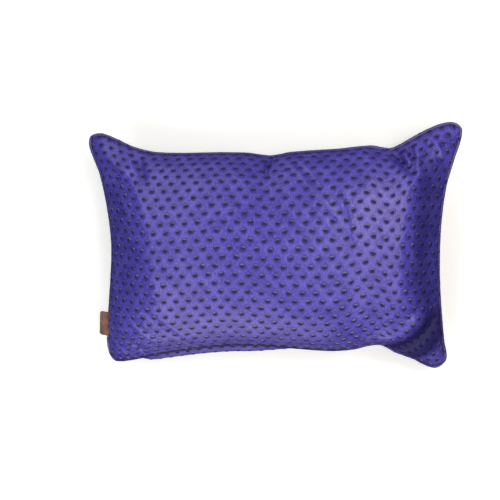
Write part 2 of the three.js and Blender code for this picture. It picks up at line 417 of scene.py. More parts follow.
def cut_point(i, j, side):
    """The same grid point on the flat panel as it was cut, with its corners rounded."""
    x = i * CLOTH_CELL - PANEL_LONG / 2
    y = j * CLOTH_CELL - PANEL_SHORT / 2
    over_x = abs(x) - (PANEL_LONG / 2 - CORNER_ROUND)
    over_y = abs(y) - (PANEL_SHORT / 2 - CORNER_ROUND)
    if over_x > 0 and over_y > 0:
        shrink = max(over_x, over_y) / math.hypot(over_x, over_y)
        x = math.copysign(PANEL_LONG / 2 - CORNER_ROUND + over_x * shrink, x)
        y = math.copysign(PANEL_SHORT / 2 - CORNER_ROUND + over_y * shrink, y)
    on_rim = i in (0, CELLS_LONG) or j in (0, CELLS_SHORT)
    return Vector((x * side_taper(y), y, 0.0 if on_rim else side * SIDE_MARK))


def panel_uv(x, y, side):
    """UV of a fabric place, counted in pitches of the knots from one knot's middle."""
    shift = 0 if side > 0 else BACK_UV_SHIFT
    up = y - FIRST_KNOT[1]
    return Vector(((x - FIRST_KNOT[0] - PATTERN_LEAN * up) / PITCH + shift, up / (2 * ROW) + shift))


def fabric_place(uv):
    """The fabric place of a UV, in millimetres from the panel's middle, and the panel's side."""
    side = 1 if uv.x < BACK_UV_SHIFT / 2 else -1
    shift = 0 if side > 0 else BACK_UV_SHIFT
    up = (uv.y - shift) * 2 * ROW
    return (uv.x - shift) * PITCH + PATTERN_LEAN * up + FIRST_KNOT[0], up + FIRST_KNOT[1], side


def add_panel(bm, uv, cut, side):
    """A panel as an even grid, shaped as the filled cover, with its cut shape kept beside it."""
    made = bmesh.ops.create_grid(bm, x_segments=CELLS_LONG, y_segments=CELLS_SHORT, size=0.5)
    cells = {}
    for vert in made["verts"]:
        i = round((vert.co.x + 0.5) * CELLS_LONG)
        j = round((vert.co.y + 0.5) * CELLS_SHORT)
        cells[vert] = (i, j)
        vert.co = filled_point(i, j, side) * MM
        vert[cut] = cut_point(i, j, side)
    faces = {face for vert in made["verts"] for face in vert.link_faces}
    for face in faces:
        for loop in face.loops:
            i, j = cells[loop.vert]
            x, y = i * CLOTH_CELL - PANEL_LONG / 2, j * CLOTH_CELL - PANEL_SHORT / 2
            loop[uv].uv = panel_uv(x * side_taper(y), y, side)
    if side < 0:
        bmesh.ops.reverse_faces(bm, faces=list(faces))


def sewn_cover():
    """Both panels, joined along the rim."""
    bm = bmesh.new()
    uv = bm.loops.layers.uv.new("fabric")
    cut = bm.verts.layers.float_vector.new("cut")
    for side in (1, -1):
        add_panel(bm, uv, cut, side)
    bmesh.ops.remove_doubles(bm, verts=bm.verts, dist=0.01 * MM)
    return bm


def add_object(name, bm):
    """Turns a bmesh into an object of the scene with smooth faces."""
    mesh = bpy.data.meshes.new(name)
    bm.to_mesh(mesh)
    bm.free()
    for face in mesh.polygons:
        face.use_smooth = True
    piece = bpy.data.objects.new(name, mesh)
    bpy.context.scene.collection.objects.link(piece)
    return piece


def inflate(piece):
    """Blows the cover up with its seam held, so that the cloth finds its own strain and ripples."""
    mesh = piece.data
    piece.shape_key_add(name="filled")
    cut = piece.shape_key_add(name="cut")
    seam = piece.vertex_groups.new(name="seam")
    for n, place in enumerate(mesh.attributes["cut"].data):
        cut.data[n].co = place.vector * MM
        if abs(place.vector.z) < SIDE_MARK / 2:
            seam.add([n], 1.0, "REPLACE")
    cloth = piece.modifiers.new("Inflate", "CLOTH")
    settings = cloth.settings
    settings.rest_shape_key = cut
    settings.vertex_group_mass = "seam"
    settings.quality = 8
    settings.mass = 0.0003
    settings.tension_stiffness = 60
    settings.compression_stiffness = 30
    settings.shear_stiffness = 12
    settings.bending_stiffness = 0.05
    settings.tension_damping = 20
    settings.compression_damping = 20
    settings.shear_damping = 10
    settings.air_damping = 4
    settings.use_pressure = True
    settings.uniform_pressure_force = PRESSURE
    settings.effector_weights.gravity = 0
    cloth.collision_settings.use_collision = False
    cloth.collision_settings.use_self_collision = False
    cloth.point_cache.frame_start = 1
    cloth.point_cache.frame_end = INFLATE_FRAMES
    scene = bpy.context.scene
    scene.frame_start = 1
    scene.frame_end = INFLATE_FRAMES
    for step in range(1, INFLATE_FRAMES + 1):
        scene.frame_set(step)
    graph = bpy.context.evaluated_depsgraph_get()
    settled = [v.co.copy() for v in piece.evaluated_get(graph).data.vertices]
    piece.modifiers.remove(cloth)
    piece.shape_key_clear()
    for vert, place in zip(mesh.vertices, settled):
        vert.co = place
    scene.frame_set(1)


class Crease:
    """A soft curve through three points of the plan, along which the cloth is folded or shaded."""

    STEPS = 10
    # A place more than REACH widths outside the curve's box counts as FAR widths away.
    REACH, FAR = 2.5, 9

    def __init__(self, start, bend, end, strength, width):
        start, bend, end = Vector(start), Vector(bend), Vector(end)
        control = 2 * bend - 0.5 * (start + end)
        shares = [n / self.STEPS for n in range(self.STEPS + 1)]
        self.points = [
            start * (1 - t) ** 2 + control * 2 * t * (1 - t) + end * t ** 2 for t in shares
        ]
        self.strength = strength
        self.width = width
        self.low = Vector((min(p.x for p in self.points), min(p.y for p in self.points)))
        self.high = Vector((max(p.x for p in self.points), max(p.y for p in self.points)))

    def distance(self, place):
        """Distance of a place in widths, and how far along the curve that is."""
        reach = self.REACH * self.width
        if not self.low.x - reach < place.x < self.high.x + reach:
            return self.FAR, 0
        if not self.low.y - reach < place.y < self.high.y + reach:
            return self.FAR, 0
        best, share = 1e9, 0.0
        for n, (a, b) in enumerate(zip(self.points, self.points[1:])):
            along = b - a
            part = min(max((place - a).dot(along) / along.length_squared, 0), 1)
            distance = (place - a - along * part).length
            if distance < best:
                best, share = distance, (n + part) / self.STEPS
        return best / self.width, share


FOLD_CREASES = [Crease(*row) for row in FOLDS]
SHADE_CREASES = [Crease(*row) for row in SHADED]


def bell(distance, power=2):
    """Falls from 1 in the middle of a fold or shade to 0.14 at its half width."""
    return math.exp(-2 * distance ** power)


def plan_place(place):
    """A place in metres as it is seen from above, in millimetres from the middle of the seam."""
    return Vector((place.x / MM - SEAM_ORIGIN.x, place.y / MM - SEAM_ORIGIN.y))


def fold_depth(plan):
    """How deep the folds press the front panel at a place of the plan, in millimetres."""
    total = 0.0
    for crease in FOLD_CREASES:
        distance, share = crease.distance(plan)
        fade = 1 - FOLD_FADE * (2 * share - 1) ** 4
        total += crease.strength * fade * bell(distance)
    return total


def light_lost(plan):
    """The share of the light that the folds and the crown keep off a place of the plan."""
    left = 0.5 ** (max(fold_depth(plan), 0) / SHADE_DEPTH)
    for crease in SHADE_CREASES:
        left *= 1 - crease.strength * bell(crease.distance(plan)[0], SHADE_EDGE)
    return 1 - left


def press_folds(piece):
    """Lays the folds of the front panel into the cloth, and notes the shade of each place."""
    mesh = piece.data
    shade = mesh.attributes.new("shade", "FLOAT", "POINT").data
    for vert, place, mark in zip(mesh.vertices, mesh.attributes["cut"].data, shade):
        to_side = PANEL_LONG / 2 * side_taper(place.vector.y) - abs(place.vector.x)
        to_edge = PANEL_SHORT / 2 - abs(place.vector.y)
        to_seam = min(to_side, to_edge)
        mark.value = SEAM_SHADE * bell(to_seam / SEAM_SHADE_WIDTH)
        if place.vector.z < SIDE_MARK / 5:
            continue
        plan = plan_place(vert.co)
        vert.co.z -= fold_depth(plan) * min(to_seam / SEAM_HOLD, 1) * MM
        mark.value = 1 - (1 - mark.value) * (1 - light_lost(plan))


def lay_down(piece):
    """Rolls the back panel out under the bottom seam, and flattens its belly onto the floor."""
    mesh = piece.data
    for vert, place in zip(mesh.vertices, mesh.attributes["cut"].data):
        if place.vector.z > -SIDE_MARK / 5:
            continue
        below_seam = place.vector.y + PANEL_SHORT / 2
        along = (place.vector.x - ROLL_FROM) / (ROLL_TO - ROLL_FROM)
        if 0 < along < 1 and below_seam < ROLL_CLOTH:
            steep = min(along * ROLL_START, 1, (1 - along) * ROLL_END)
            swell = math.sin(math.pi * steep / 2) ** 2
            bulge = math.sin(math.pi * below_seam / ROLL_CLOTH) ** ROLL_ROUND
            vert.co.y -= BOTTOM_ROLL * swell * bulge * MM
        if vert.co.z < FLOOR_SOFTNESS * MM:
            # Below this height the cloth flattens onto the floor in a soft bend.
            over = (FLOOR_SOFTNESS * MM - vert.co.z) / (FLOOR_SOFTNESS * MM)
            vert.co.z = FLOOR_SOFTNESS * MM * math.exp(-over)


def refine(piece):
    """Halves the cells once, so that folds and ripples are round."""
    finer = piece.modifiers.new("Refine", "SUBSURF")
    finer.levels = 1
    finer.render_levels = 1
    finer.uv_smooth = "NONE"
    graph = bpy.context.evaluated_depsgraph_get()
    mesh = bpy.data.meshes.new_from_object(piece.evaluated_get(graph))
    piece.modifiers.remove(finer)
    piece.data = mesh
    for face in mesh.polygons:
        face.use_smooth = True


class Fabric:
    """Finds where a place on the flat fabric has come to lie on the finished cushion."""

    def __init__(self, piece):
        mesh = piece.data
        uv = mesh.uv_layers["fabric"].data
        self.grids = {1: {}, -1: {}}
        for loop in mesh.loops:
            x, y, side = fabric_place(uv[loop.index].uv)
            i = round((x / side_taper(y) + PANEL_LONG / 2) / FINE_CELL)
            j = round((y + PANEL_SHORT / 2) / FINE_CELL)
            self.grids[side][i, j] = mesh.vertices[loop.vertex_index].co
        self.last = (2 * CELLS_LONG, 2 * CELLS_SHORT)

    def at(self, x, y, side):
        """Place and outward direction for a fabric place in millimetres."""
        x /= side_taper(y)
        s = min(max((x + PANEL_LONG / 2) / FINE_CELL, 0), self.last[0] - 1e-6)
        t = min(max((y + PANEL_SHORT / 2) / FINE_CELL, 0), self.last[1] - 1e-6)
        i, j = int(s), int(t)
        grid = self.grids[side]
        a, b, c, d = grid[i, j], grid[i + 1, j], grid[i + 1, j + 1], grid[i, j + 1]
        s, t = s - i, t - j
        place = a.lerp(b, s).lerp(d.lerp(c, s), t)
        return place, (c - a).cross(d - b).normalized() * side


def knot_dome(bm, uv, middle):
    """One embroidered knot on flat fabric: a low dome of thread with a dimple in its middle."""
    made = bmesh.ops.create_circle(bm, segments=KNOT_SIDES, radius=KNOT_RADIUS, cap_ends=True)
    face = made["verts"][0].link_faces[0]
    verts = set(face.verts)
    for n, (share, height) in enumerate(KNOT_RINGS):
        if n > 0:
            bmesh.ops.inset_region(bm, faces=[face], thickness=0.3, use_boundary=True)
            around = {side for corner in face.verts for side in corner.link_faces}
            verts |= {vert for side in around for vert in side.verts}
        for vert in face.verts:
            vert.co = Vector((*(vert.co.xy.normalized() * share * KNOT_RADIUS), height))
    for vert in bmesh.ops.poke(bm, faces=[face])["verts"]:
        vert.co.z = KNOT_DIMPLE
        verts.add(vert)
    for dome_face in {face for vert in verts for face in vert.link_faces}:
        for loop in dome_face.loops:
            loop[uv].uv = loop.vert.co.xy / (2 * KNOT_RADIUS) + Vector((0.5, 0.5))
    verts = list(verts)
    bmesh.ops.translate(bm, verts=verts, vec=(*middle, 0))
    return verts


def knot_sheet(name):
    """Rows of knots on flat fabric, in millimetres, repeated by arrays from the first two."""
    bm = bmesh.new()
    uv = bm.loops.layers.uv.new("thread")
    knot_dome(bm, uv, (0, 0))
    knot_dome(bm, uv, (PITCH / 2, ROW))
    bmesh.ops.recalc_face_normals(bm, faces=bm.faces)
    piece = add_object(name, bm)
    for count, offset in ((KNOT_COLUMNS, (PITCH, 0, 0)), (KNOT_ROW_PAIRS, (0, 2 * ROW, 0))):
        array = piece.modifiers.new("Repeat", "ARRAY")
        array.use_relative_offset = False
        array.use_constant_offset = True
        array.constant_offset_displace = offset
        array.count = count
    graph = bpy.context.evaluated_depsgraph_get()
    piece.data = bpy.data.meshes.new_from_object(piece.evaluated_get(graph))
    piece.modifiers.clear()
    return piece


def sheet_start(knot, half, step):
    """Where the knots start along one axis: at the last one that lies before the panel."""
    return knot - step * math.floor((knot + half) / step) - step


def embroider(name, fabric, side):
    """Knots all over one panel, wrapped onto the cloth, no two sewn quite alike."""
    piece = knot_sheet(name)
    start_x = sheet_start(FIRST_KNOT[0], PANEL_LONG / 2, PITCH)
    start_y = sheet_start(FIRST_KNOT[1], PANEL_SHORT / 2, 2 * ROW)
    bm = bmesh.new()
    bm.from_mesh(piece.data)
    # Each knot's tone sets how strong the grey painted highlight on its upper side is.
    tone = bm.verts.layers.float.new("tone")
    shade = bm.verts.layers.float.new("shade")
    habits = {}
    shades = {}
    spare = []
    for vert in bm.verts:
        row = round(vert.co.y / ROW)
        column = round((vert.co.x - (row % 2) * PITCH / 2) / PITCH)
        middle = Vector((column * PITCH + (row % 2) * PITCH / 2, row * ROW))
        if (row, column) not in habits:
            habits[row, column] = [RANDOM.uniform(-1, 1) for _ in range(6)]
        size, turn, width, move_x, move_y, lift = habits[row, column]
        x, y = middle.x + start_x, middle.y + start_y
        x += PATTERN_LEAN * (y - FIRST_KNOT[1])
        to_side = PANEL_LONG / 2 * side_taper(y) - abs(x)
        if min(to_side, PANEL_SHORT / 2 - abs(y)) < KNOT_MARGIN:
            spare.append(vert)
            continue
        local = (vert.co.xy - middle) * (1 + SIZE_VARIES * size)
        local = Matrix.Rotation(turn * TURN_VARIES, 2) @ local
        x += local.x * (1 + WIDTH_VARIES * width) + PLACE_VARIES * move_x
        y += local.y + PLACE_VARIES * move_y
        place, outward = fabric.at(x, y, side)
        if (row, column) not in shades:
            shades[row, column] = light_lost(plan_place(place)) if side > 0 else 0.0
        vert[shade] = shades[row, column]
        height = vert.co.z * (1 + HEIGHT_VARIES * lift) * (1 if side > 0 else BACK_KNOT_HEIGHT)
        vert.co = place + outward * height * MM
        vert[tone] = 0.5 + 0.5 * lift
    bmesh.ops.delete(bm, geom=spare, context="VERTS")
    bm.to_mesh(piece.data)
    bm.free()
    for face in piece.data.polygons:
        face.use_smooth = True
    return piece


def seam_frame(along):
    """Place of the piping, outward and upward, at a length from the top left ear."""
    along = along % SEAM_LENGTH
    for line in SEAM:
        if along <= line.reach[-1]:
            break
        along -= line.reach[-1]
    place, forward = line.at(along / line.reach[-1])
    return place, *seam_sides(forward)


def piping_radius(along, turn):
    """The cord's cover is cut on the bias, so it ripples a little round the cord."""
    across, up = math.cos(turn) * RIPPLES_ROUND, math.sin(turn) * RIPPLES_ROUND
    ripple = noise.noise(Vector((along * RIPPLES_ALONG, across, up)))
    return PIPING_RADIUS * (1 + CORD_RIPPLE * ripple)


def cord_shade(place):
    """The share of the light that the crown keeps off the cord in the bottom edge."""
    if place.y > SEAM_ORIGIN.y - PANEL_SHORT / 4:
        return 0.0
    x = place.x - SEAM_ORIGIN.x
    inside = min(x - CORD_SHADE_FROM, CORD_SHADE_TO - x) / CORD_SHADE_FADE
    return CORD_SHADE * min(max(inside, 0), 1)


def cord_point(spot, turn, radius):
    """A point on the cord, in metres: spot is a place of the piping with its two directions."""
    place, outward, upward = spot
    return (place + (outward * math.cos(turn) + upward * math.sin(turn)) * radius) * MM


def ring_edges(bm, ring):
    """The edges from each corner of a ring to the next."""
    return [bm.edges.get(pair) for pair in zip(ring, ring[1:] + ring[:1])]


def next_ring(bm, ring):
    """Draws the cord's cover out by one step, and returns its new corners in the same order."""
    grown = bmesh.ops.extrude_edge_only(bm, edges=ring_edges(bm, ring))["geom"]
    fresh = {item for item in grown if isinstance(item, bmesh.types.BMVert)}
    return [
        next(end for edge in vert.link_edges for end in edge.verts if end in fresh)
        for vert in ring
    ]


def piping_tube():
    """The covered cord, drawn out ring by ring along the seam and closed on itself."""
    steps = round(SEAM_LENGTH / PIPING_STEP)
    bm = bmesh.new()
    uv = bm.loops.layers.uv.new("fabric")
    shade = bm.verts.layers.float.new("shade")
    first = list(bmesh.ops.create_circle(bm, segments=PIPING_SIDES, radius=1)["verts"])
    turns = [math.atan2(vert.co.y, vert.co.x) for vert in first]
    marks = {}
    ring = first
    for step in range(steps):
        if step > 0:
            ring = next_ring(bm, ring)
        along = step * SEAM_LENGTH / steps
        spot = seam_frame(along)
        for vert, turn in zip(ring, turns):
            vert.co = cord_point(spot, turn, piping_radius(along, turn))
            vert[shade] = cord_shade(spot[0])
            marks[vert] = (step, turn)
    bmesh.ops.bridge_loops(bm, edges=ring_edges(bm, ring) + ring_edges(bm, first))
    bmesh.ops.recalc_face_normals(bm, faces=bm.faces)
    for face in bm.faces:
        face_steps = [marks[vert][0] for vert in face.verts]
        face_turns = [marks[vert][1] for vert in face.verts]
        for loop in face.loops:
            step, turn = marks[loop.vert]
            if max(face_steps) - min(face_steps) > 1 and step == 0:
                step = steps
            if max(face_turns) - min(face_turns) > math.pi and turn < 0:
                turn += 2 * math.pi
            loop[uv].uv = (step * SEAM_LENGTH / steps / PITCH, turn * PIPING_RADIUS / PITCH)
    return bm


def piping_knots():
    """Knots of the fabric that covers the cord, flattened round it by the sewing."""
    count = round(SEAM_LENGTH / (CORD_KNOT_ROWS * ROW))
    spacing = SEAM_LENGTH / count
    bm = bmesh.new()
    uv = bm.loops.layers.uv.new("thread")
    tone = bm.verts.layers.float.new("tone")
    for n in range(count):
        for offset, half_turns in CORD_KNOTS:
            dome = knot_dome(bm, uv, (0, 0))
            along = (n + offset) * spacing + RANDOM.uniform(-STRAY_ALONG, STRAY_ALONG)
            lean = half_turns + RANDOM.uniform(-STRAY_ROUND, STRAY_ROUND)
            # How strong the grey painted highlight of this knot is.
            dome_highlight = RANDOM.random()
            for vert in dome:
                spot = seam_frame(along + vert.co.x * CORD_KNOT_LONG)
                turn = lean * math.pi - vert.co.y * CORD_KNOT_ROUND / PIPING_RADIUS
                radius = PIPING_RADIUS - CORD_KNOT_SUNK + vert.co.z * CORD_KNOT_HEIGHT
                vert.co = cord_point(spot, turn, radius)
                vert[tone] = dome_highlight
    bmesh.ops.recalc_face_normals(bm, faces=bm.faces)
    return bm


def leather_tab():
    """A cut tab with two rounded corners and softly worn edges, which droops a little."""
    bm = bmesh.new()
    bmesh.ops.create_grid(bm, x_segments=1, y_segments=1, size=0.5)
    width = TAB_REACH + TAB_LAP
    for vert in bm.verts:
        vert.co = Vector(((vert.co.x + 0.5) * width - TAB_REACH, vert.co.y * TAB_LENGTH, 0)) * MM
    outer = [vert for vert in bm.verts if vert.co.x < 0]
    bmesh.ops.bevel(
        bm, geom=outer, offset=TAB_CORNER * MM, offset_type="OFFSET", affect="VERTICES", segments=6,
        profile=0.5, material=-1,
    )
    grown = bmesh.ops.extrude_face_region(bm, geom=list(bm.faces))["geom"]
    raised = [item for item in grown if isinstance(item, bmesh.types.BMVert)]
    bmesh.ops.translate(bm, verts=raised, vec=(0, 0, TAB_THICKNESS * MM))
    bmesh.ops.recalc_face_normals(bm, faces=bm.faces)
    steep = math.radians(70)
    rims = [edge for edge in bm.edges if edge.calc_face_angle(0) > steep]
    bmesh.ops.bevel(
        bm, geom=rims, offset=TAB_WORN_EDGE * MM, affect="EDGES", segments=2, profile=0.5,
        material=-1,
    )
    starts, sizes = (-TAB_REACH, -TAB_LENGTH / 2), (width, TAB_LENGTH)
    for start, size, slices, axis in zip(starts, sizes, TAB_SLICES, ((1, 0, 0), (0, 1, 0))):
        for n in range(1, slices):
            place = Vector(axis) * (start + n * size / slices) * MM
            geom = [*bm.verts, *bm.edges, *bm.faces]
            bmesh.ops.bisect_plane(bm, geom=geom, plane_co=place, plane_no=axis)
    wanted = SEAM_ORIGIN.y + TAB_CENTRE_Y
    spots = [SEAM[LEFT].at(n / EDGE_STEPS) for n in range(EDGE_STEPS + 1)]
    centre, forward = min(spots, key=lambda spot: abs(spot[0].y - wanted))
    outward, upward = seam_sides(forward)
    centre = centre + upward * (PIPING_RADIUS + TAB_CLEARANCE)
    for vert in bm.verts:
        out, along, height = -vert.co.x / MM, vert.co.y / MM, vert.co.z / MM
        free = max(out, 0) / TAB_REACH
        # The lower end hangs down more than the upper one.
        height -= TAB_DROOP * free ** 2 * (1 - 0.4 * along / TAB_LENGTH)
        height += TAB_CURL * free * math.sin(along / TAB_LENGTH * math.pi * 1.3)
        vert.co = (centre + outward * out + forward * along + upward * height) * MM
    bmesh.ops.recalc_face_normals(bm, faces=bm.faces)
    return bm


def linear(hex_colour):
    """sRGB hex to the linear colour that a shader takes."""
    values = [int(hex_colour[n:n + 2], 16) / 255 for n in (1, 3, 5)]
    return (*[v / 12.92 if v <= 0.04045 else ((v + 0.055) / 1.055) ** 2.4 for v in values], 1.0)


def new_material(name):
    """An empty material with its node tree and shader."""
    material = bpy.data.materials.new(name)
    material.use_nodes = True
    tree = material.node_tree
    return material, tree, tree.nodes["Principled BSDF"]


def add_node(tree, kind, settings=None, links=None):
    """Adds a node, sets its fields and sockets, and links its inputs."""
    node = tree.nodes.new("ShaderNode" + kind)
    for key, value in (settings or {}).items():
        if isinstance(key, str) and hasattr(node, key):
            setattr(node, key, value)
        else:
            node.inputs[key].default_value = value
    for key, output in (links or {}).items():
        tree.links.new(output, node.inputs[key])
    return node


# Vector maths from repeats of the pattern to millimetres, and from a cell's corner to its middle.
TO_MILLIMETRES = {"operation": "MULTIPLY", 1: (PITCH, 2 * ROW, 0)}
FROM_MIDDLE = {"operation": "SUBTRACT", 1: (0.5, 0.5, 0)}


def knot_distance(tree, uv):
    """Millimetres from the middle of the nearest knot of the staggered repeat."""
    lengths = []
    for start in (0.5, 0.0):
        move = {"operation": "ADD", 1: (start, start, 0)}
        moved = add_node(tree, "VectorMath", move, {0: uv}).outputs[0]
        cell = add_node(tree, "VectorMath", {"operation": "FRACTION"}, {0: moved}).outputs[0]
        offset = add_node(tree, "VectorMath", FROM_MIDDLE, {0: cell}).outputs[0]
        real = add_node(tree, "VectorMath", TO_MILLIMETRES, {0: offset}).outputs[0]
        length = add_node(tree, "VectorMath", {"operation": "LENGTH"}, {0: real})
        lengths.append(length.outputs["Value"])
    links = {0: lengths[0], 1: lengths[1]}
    return add_node(tree, "Math", {"operation": "MINIMUM"}, links).outputs[0]


def add_shadow(tree, colour):
    """Darkens a colour where the cloth lies deep in a fold."""
    shade = add_node(tree, "Attribute", {"attribute_name": "shade"}).outputs["Fac"]
    settings = {"data_type": "RGBA", 7: linear(FOLD_SHADOW)}
    return add_node(tree, "Mix", settings, {0: shade, 6: colour}).outputs[2]


def satin_material(name, dark, light, with_knots):
    """Polyester satin, woven with long floats along the long side: it shines in soft bands that
    run across the floats, shows its warp as fine upright lines, and puckers round each knot."""
    material, tree, shader = new_material(name)
    uv = add_node(tree, "UVMap", {"uv_map": "fabric"}).outputs[0]
    place = add_node(tree, "VectorMath", TO_MILLIMETRES, {0: uv}).outputs[0]
    # Real warp lines lie 0.2 mm apart. To show from a step away, they are drawn as streaks about
    # 1.6 mm wide and 5 mm long, with finer ones in them.
    stretch = {"operation": "MULTIPLY", 1: (0.62, 0.2, 0)}
    threads = add_node(tree, "VectorMath", stretch, {0: place}).outputs[0]
    lines = {"Scale": 1.0, "Detail": 4.0, "Roughness": 0.7}
    streaks = add_node(tree, "TexNoise", lines, {"Vector": threads}).outputs[0]
    # Soft unevenness of the filled cloth, about 25 mm across.
    soft = {"Scale": 0.04, "Detail": 2.0, "Roughness": 0.5}
    clouds = add_node(tree, "TexNoise", soft, {"Vector": place}).outputs[0]
    # Small puckers that the embroidery pulls into the cloth, about 7 mm across.
    small = {"Scale": 0.14, "Detail": 3.0, "Roughness": 0.55}
    puckers = add_node(tree, "TexNoise", small, {"Vector": place}).outputs[0]
    weaken = {"operation": "MULTIPLY", 1: CLOUD_SHARE}
    cloud_part = add_node(tree, "Math", weaken, {0: clouds}).outputs[0]
    sum_up = {"operation": "MULTIPLY_ADD", 1: 1 - CLOUD_SHARE}
    tone = add_node(tree, "Math", sum_up, {0: streaks, 2: cloud_part}).outputs[0]
    tones = add_node(tree, "ValToRGB", {}, {0: tone})
    low, high = tones.color_ramp.elements
    low.position, low.color = TONE_DARK, linear(dark)
    high.position, high.color = TONE_LIGHT, linear(light)
    colour = tones.outputs[0]
    raised = {"operation": "MULTIPLY", 1: STREAK_HEIGHT}
    height = add_node(tree, "Math", raised, {0: streaks}).outputs[0]
    raised = {"operation": "MULTIPLY_ADD", 1: PUCKER_HEIGHT}
    height = add_node(tree, "Math", raised, {0: puckers, 2: height}).outputs[0]
    if with_knots:
        distance = knot_distance(tree, uv)
        # Painted shade: the satin is mixed towards a dark colour in a ring round each knot.
        knot_shade_range = {
            "interpolation_type": "SMOOTHSTEP", "From Min": KNOT_RADIUS * 0.8,
            "From Max": KNOT_RADIUS * KNOT_SHADE_REACH, "To Min": KNOT_SHADE_STRENGTH, "To Max": 0.0,
        }
        knot_shade = add_node(tree, "MapRange", knot_shade_range, {"Value": distance}).outputs[0]
        knot_shade_mix = {"data_type": "RGBA", 7: linear(KNOT_SHADE_COLOUR)}
        colour = add_node(tree, "Mix", knot_shade_mix, {0: knot_shade, 6: colour}).outputs[2]
        puff_range = {
            "interpolation_type": "SMOOTHSTEP", "From Min": KNOT_RADIUS * 0.8,
            "From Max": KNOT_RADIUS * PUFF_REACH, "To Min": 0.0, "To Max": PUFF_HEIGHT,
        }
        puff = add_node(tree, "MapRange", puff_range, {"Value": distance}).outputs[0]
        height = add_node(tree, "Math", {"operation": "ADD"}, {0: height, 1: puff}).outputs[0]
    tree.links.new(add_shadow(tree, colour), shader.inputs["Base Color"])
    bump = add_node(tree, "Bump", {"Strength": 1.0, "Distance": MM}, {"Height": height})
    tree.links.new(bump.outputs[0], shader.inputs["Normal"])
    tangent = add_node(tree, "Tangent", {"direction_type": "UV_MAP", "uv_map": "fabric"})
    tree.links.new(tangent.outputs[0], shader.inputs["Tangent"])
    rough_range = {
        "From Min": 0.3, "From Max": 0.7, "To Min": SATIN_ROUGH[0], "To Max": SATIN_ROUGH[1],
    }
    roughness = add_node(tree, "MapRange", rough_range, {"Value": streaks}).outputs[0]
    # Cloth that lies in the shade has nothing bright to mirror, so its shine is spread out.
    shade = add_node(tree, "Attribute", {"attribute_name": "shade"}).outputs["Fac"]
    spread = {"operation": "MULTIPLY_ADD", 1: SHADE_SPREAD}
    roughness = add_node(tree, "Math", spread, {0: shade, 2: roughness}).outputs[0]
    tree.links.new(roughness, shader.inputs["Roughness"])
    shader.inputs["Anisotropic"].default_value = SATIN_ANISO
    shader.inputs["Anisotropic Rotation"].default_value = 0.25
    shader.inputs["Specular IOR Level"].default_value = SATIN_SPECULAR
    shader.inputs["Specular Tint"].default_value = linear(SATIN_GLEAM)
    return material


def thread_material():
    """Rayon embroidery thread, packed in satin stitch round a sunken eye: near black, with a grey
    painted highlight on the upper side of each knot, crossed by the ribs of the stitches, and a rim
    that sinks into the satin."""
    material, tree, shader = new_material("embroidery_thread")
    uv = add_node(tree, "UVMap", {"uv_map": "thread"}).outputs[0]
    # Places on a knot are shares of its width, counted from its eye.
    from_eye = add_node(tree, "VectorMath", FROM_MIDDLE, {0: uv}).outputs[0]
    parts = add_node(tree, "SeparateXYZ", {}, {0: from_eye}).outputs
    angle = add_node(tree, "Math", {"operation": "ARCTAN2"}, {0: parts[1], 1: parts[0]}).outputs[0]
    distance = add_node(tree, "VectorMath", {"operation": "LENGTH"}, {0: from_eye}).outputs["Value"]
    # About 22 stitches go round a real knot. Fewer are drawn, so that the ribs show.
    turns = add_node(tree, "Math", {"operation": "MULTIPLY", 1: STITCHES}, {0: angle}).outputs[0]
    ribs = add_node(tree, "Math", {"operation": "SINE"}, {0: turns}).outputs[0]
    tone = add_node(tree, "Attribute", {"attribute_name": "tone"}).outputs["Fac"]
    # Painted highlight: the upper side of each knot, outside its eye, is mixed towards grey, more
    # on some knots than on others; the ribs add a little tone of their own.
    upper_range = {"interpolation_type": "SMOOTHSTEP", "From Min": 0.1, "From Max": 0.36}
    upper = add_node(tree, "MapRange", upper_range, {"Value": parts[1]}).outputs[0]
    outer_range = {"interpolation_type": "SMOOTHSTEP", "From Min": 0.08, "From Max": 0.26}
    outer = add_node(tree, "MapRange", outer_range, {"Value": distance}).outputs[0]
    vary = {"operation": "MULTIPLY_ADD", 1: HIGHLIGHT_MORE, 2: HIGHLIGHT_LEAST}
    strength = add_node(tree, "Math", vary, {0: tone}).outputs[0]
    highlight_and_ribs = add_node(tree, "Math", {"operation": "MULTIPLY"}, {0: upper, 1: outer}).outputs[0]
    highlight_and_ribs = add_node(tree, "Math", {"operation": "MULTIPLY"}, {0: highlight_and_ribs, 1: strength}).outputs[0]
    ribbed = {"operation": "MULTIPLY_ADD", 1: RIB_TONE}
    highlight_and_ribs = add_node(tree, "Math", ribbed, {0: ribs, 2: highlight_and_ribs}).outputs[0]
    rim_range = {"interpolation_type": "SMOOTHSTEP", "From Min": 0.14, "From Max": 0.5}
    rim = add_node(tree, "MapRange", rim_range, {"Value": distance}).outputs[0]
    sunken = {"data_type": "RGBA", 6: linear(THREAD_DARK), 7: linear(THREAD_RIM)}
    colour = add_node(tree, "Mix", sunken, {0: rim}).outputs[2]
    highlight_and_ribs_mix = {"data_type": "RGBA", 7: linear(THREAD_HIGHLIGHT)}
    colour = add_node(tree, "Mix", highlight_and_ribs_mix, {0: highlight_and_ribs, 6: colour}).outputs[2]
    tree.links.new(add_shadow(tree, colour), shader.inputs["Base Color"])
    bump = add_node(tree, "Bump", {"Strength": 0.6, "Distance": 0.15 * MM}, {"Height": ribs})
    tree.links.new(bump.outputs[0], shader.inputs["Normal"])
    shader.inputs["Roughness"].default_value = THREAD_ROUGH
    shader.inputs["Specular IOR Level"].default_value = THREAD_SPECULAR
    return material


